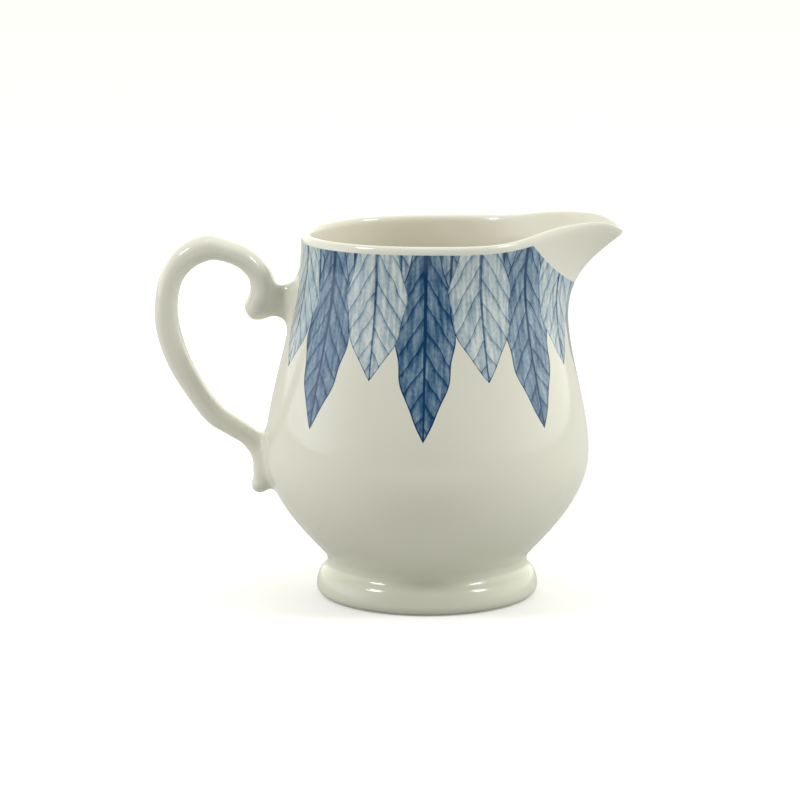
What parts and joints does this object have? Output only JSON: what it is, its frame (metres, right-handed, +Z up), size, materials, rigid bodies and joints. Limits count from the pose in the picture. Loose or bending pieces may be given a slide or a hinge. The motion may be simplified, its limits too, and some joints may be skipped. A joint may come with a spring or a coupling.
{
  "type": "cream jug",
  "caption": "Round-bellied porcelain cream jug with a drawn pouring lip, a rolled foot ring and an ear-shaped strap handle with a curl and a spur.",
  "frame": {"origin": "middle of the bounding box, on the plane the foot ring stands on; the bowl's own axis is 9.6 mm from it towards the lip", "axes": "+Z up, +X towards the pouring lip, handle towards -X, the XZ plane is the plane of symmetry"},
  "size_m": [0.1172, 0.0816, 0.0952],
  "materials": {
    "glazed_porcelain": "clear gloss glaze over ivory-white porcelain, with a cobalt-blue transfer print of hanging leaves under the glaze",
    "foot_porcelain": "clear gloss glaze, wiped bare and ground matt on the ring it stands on",
    "handle_porcelain": "plain clear gloss glaze over ivory-white porcelain"
  },
  "bodies": {
    "root": {"body": "glazed_porcelain", "spout": "glazed_porcelain", "foot_ring": "foot_porcelain", "handle": "handle_porcelain", "upper_handle_joint": "handle_porcelain", "lower_handle_joint": "handle_porcelain"}
  },
  "joints": []
}
